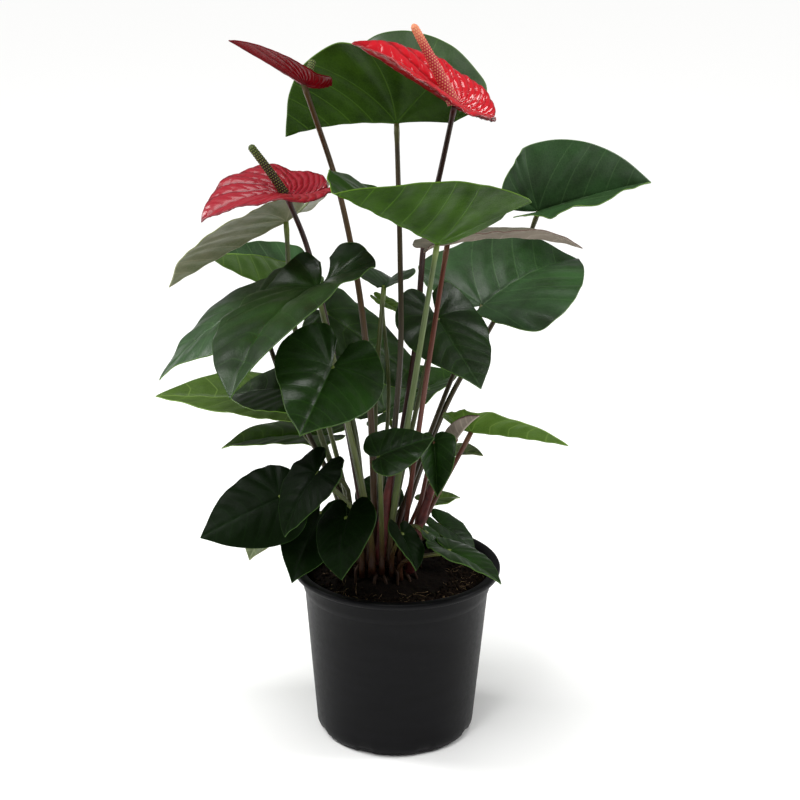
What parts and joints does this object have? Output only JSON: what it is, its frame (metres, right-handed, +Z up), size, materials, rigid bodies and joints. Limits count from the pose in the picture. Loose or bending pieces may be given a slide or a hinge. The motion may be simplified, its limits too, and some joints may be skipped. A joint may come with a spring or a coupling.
{
  "type": "potted anthurium",
  "caption": "Potted anthurium: heart-shaped leaves and red flowers on long stalks from one crown, in soil in a round tapered plastic nursery pot.",
  "frame": {"origin": "centre of the pot's base, on the plane the pot stands on", "axes": "+Z up along the pot's axis, -Y towards the front of the plant, +X to the right of someone who looks at its front"},
  "size_m": [0.4213, 0.3887, 0.5972],
  "materials": {
    "pot": "satin",
    "soil": "rough damp peat",
    "crown": "rough",
    "leaf": "satin, waxy",
    "young_leaf": "satin",
    "stalk": "satin",
    "peduncle": "satin",
    "sheath": "dry, papery",
    "spathe": "high gloss, waxy",
    "spadix": "satin, beaded",
    "old_spadix": "satin, beaded"
  },
  "bodies": {
    "root": {"pot": "pot", "soil": "soil", "crown": "crown", "sheath_1": "sheath", "sheath_2": "sheath", "sheath_3": "sheath", "leaf_01_blade": "leaf", "leaf_01_stalk": "stalk", "leaf_02_blade": "leaf", "leaf_02_stalk": "stalk", "leaf_03_blade": "leaf", "leaf_03_stalk": "stalk", "leaf_04_blade": "young_leaf", "leaf_04_stalk": "stalk", "leaf_05_blade": "leaf", "leaf_05_stalk": "stalk", "leaf_06": "leaf", "leaf_07": "leaf", "leaf_08_blade": "leaf", "leaf_08_stalk": "stalk", "leaf_09_blade": "leaf", "leaf_09_stalk": "stalk", "leaf_10_blade": "young_leaf", "leaf_10_stalk": "stalk", "leaf_11": "leaf", "leaf_12": "leaf", "leaf_13_blade": "leaf", "leaf_13_stalk": "stalk", "leaf_14_blade": "leaf", "leaf_14_stalk": "stalk", "leaf_15": "leaf", "leaf_16": "young_leaf", "leaf_17": "leaf", "leaf_18": "leaf", "leaf_19": "leaf", "leaf_20": "leaf", "leaf_21": "young_leaf", "leaf_22": "leaf", "leaf_23": "leaf", "leaf_24": "leaf", "leaf_25": "young_leaf", "leaf_26": "young_leaf", "leaf_27": "leaf", "leaf_28": "leaf", "leaf_29": "leaf", "leaf_30": "leaf", "leaf_31": "leaf", "leaf_32": "leaf", "leaf_33": "leaf", "leaf_34": "young_leaf", "spathe_1": "spathe", "spadix_1": "spadix", "flower_stalk_1": "peduncle", "spathe_2": "spathe", "spadix_2": "old_spadix", "flower_stalk_2": "peduncle", "spathe_3": "spathe", "spadix_3": "old_spadix", "flower_stalk_3": "peduncle"}
  },
  "joints": []
}
